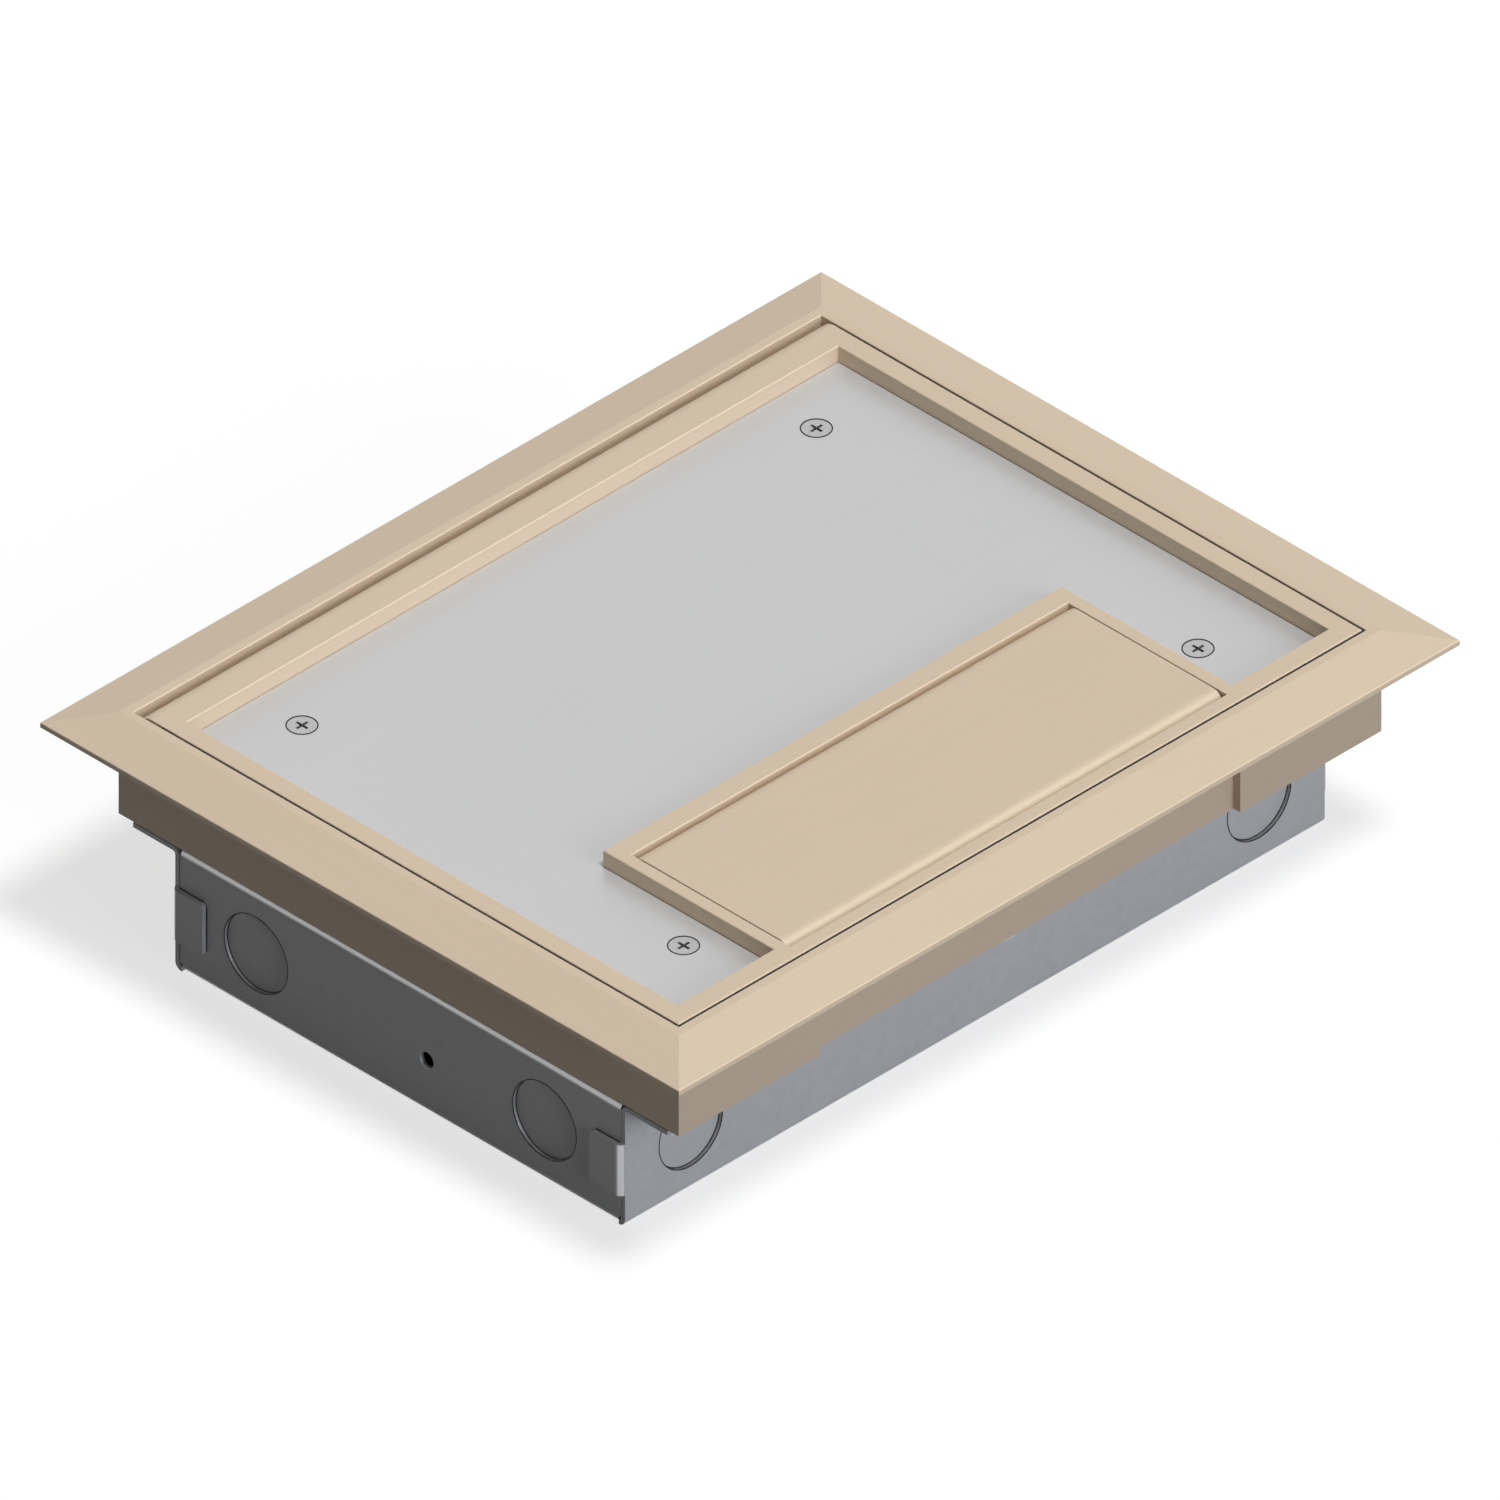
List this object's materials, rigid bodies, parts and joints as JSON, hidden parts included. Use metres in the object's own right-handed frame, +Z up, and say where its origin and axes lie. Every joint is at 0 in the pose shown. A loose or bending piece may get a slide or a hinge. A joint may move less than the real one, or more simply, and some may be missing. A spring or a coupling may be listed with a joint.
{
  "type": "floor socket box",
  "caption": "Recessed floor box with bevelled trim frame, hinged inlay lid, cable flap, folded steel box with knockouts, and switched sockets and data outlets inside.",
  "frame": {"origin": "centre of the trim frame's plan, at the underside of the box", "axes": "+X along the long side, +Y towards the lid's hinge edge with the cable flap at -Y, +Z up"},
  "size_m": [0.307, 0.251, 0.0766],
  "materials": {
    "trim_aluminium": "satin champagne anodised",
    "lid_inlay_steel": "satin light grey",
    "galvanised_steel": "smooth zinc coated sheet",
    "plate_steel": "zinc coated sheet",
    "zinc_fasteners": "bright zinc plated",
    "lid_screw_steel": "satin stainless",
    "pin_steel": "ground",
    "brass": "plain",
    "sealing_rubber": "matt",
    "socket_moulding": "moulded white, semi-gloss",
    "housing_moulding": "moulded grey, matt",
    "shutter_moulding": "moulded red, matt",
    "data_moulding": "moulded white, matt"
  },
  "bodies": {
    "root": {"box_channel": "galvanised_steel", "end_panel_left": "galvanised_steel", "end_panel_right": "galvanised_steel", "divider_left": "galvanised_steel", "divider_right": "galvanised_steel", "plate_pillars": "zinc_fasteners", "plate_screws": "zinc_fasteners", "power_plate_left": "plate_steel", "power_plate_right": "plate_steel", "data_plate": "plate_steel", "data_jacks": "data_moulding", "earth_terminal": "brass", "frame_gasket": "sealing_rubber", "trim_frame": "trim_aluminium", "frame_screws": "zinc_fasteners", "frame_nuts": "zinc_fasteners", "lid_seal": "sealing_rubber", "lid_hinge_pin_left": "pin_steel", "lid_hinge_pin_right": "pin_steel", "socket_face_left_front": "socket_moulding", "socket_base_left_front": "housing_moulding", "socket_contacts_left_front": "brass", "socket_face_left_rear": "socket_moulding", "socket_base_left_rear": "housing_moulding", "socket_contacts_left_rear": "brass", "socket_face_right_front": "socket_moulding", "socket_base_right_front": "housing_moulding", "socket_contacts_right_front": "brass", "socket_face_right_rear": "socket_moulding", "socket_base_right_rear": "housing_moulding", "socket_contacts_right_rear": "brass"},
    "lid": {"lid_frame": "trim_aluminium", "lid_plate": "lid_inlay_steel", "lid_screws": "lid_screw_steel", "clamp_bar_left": "plate_steel", "clamp_bar_right": "plate_steel", "flap_hinge_pin_left": "pin_steel", "flap_hinge_pin_right": "pin_steel"},
    "flap": {"flap": "trim_aluminium"},
    "rocker_left_front": {"rocker_left_front": "socket_moulding"},
    "shutter_left_front": {"shutter_left_front": "shutter_moulding"},
    "rocker_left_rear": {"rocker_left_rear": "socket_moulding"},
    "shutter_left_rear": {"shutter_left_rear": "shutter_moulding"},
    "rocker_right_front": {"rocker_right_front": "socket_moulding"},
    "shutter_right_front": {"shutter_right_front": "shutter_moulding"},
    "rocker_right_rear": {"rocker_right_rear": "socket_moulding"},
    "shutter_right_rear": {"shutter_right_rear": "shutter_moulding"}
  },
  "joints": [
    {"name": "lid_hinge", "type": "hinge", "parent": "root", "child": "lid", "pos_m": [0, 0.1012, 0.0721], "axis": [-1, 0, 0], "range_deg": [0, 100]},
    {"name": "flap_hinge", "type": "hinge", "parent": "lid", "child": "flap", "pos_m": [0, -0.0436, 0.0726], "axis": [-1, 0, 0], "range_deg": [0, 90]},
    {"name": "rocker_left_front_hinge", "type": "hinge", "parent": "root", "child": "rocker_left_front", "pos_m": [-0.09067, -0.058, 0.0304], "axis": [1, 0, 0], "range_deg": [0, 10]},
    {"name": "shutter_left_front_slide", "type": "slide", "parent": "root", "child": "shutter_left_front", "axis": [0, 1, 0], "range_m": [0, 0.0056]},
    {"name": "rocker_left_rear_hinge", "type": "hinge", "parent": "root", "child": "rocker_left_rear", "pos_m": [-0.09067, 0.058, 0.0304], "axis": [-1, 0, 0], "range_deg": [0, 10]},
    {"name": "shutter_left_rear_slide", "type": "slide", "parent": "root", "child": "shutter_left_rear", "axis": [0, -1, 0], "range_m": [0, 0.0056]},
    {"name": "rocker_right_front_hinge", "type": "hinge", "parent": "root", "child": "rocker_right_front", "pos_m": [0.09067, -0.058, 0.0304], "axis": [1, 0, 0], "range_deg": [0, 10]},
    {"name": "shutter_right_front_slide", "type": "slide", "parent": "root", "child": "shutter_right_front", "axis": [0, 1, 0], "range_m": [0, 0.0056]},
    {"name": "rocker_right_rear_hinge", "type": "hinge", "parent": "root", "child": "rocker_right_rear", "pos_m": [0.09067, 0.058, 0.0304], "axis": [-1, 0, 0], "range_deg": [0, 10]},
    {"name": "shutter_right_rear_slide", "type": "slide", "parent": "root", "child": "shutter_right_rear", "axis": [0, -1, 0], "range_m": [0, 0.0056]}
  ]
}
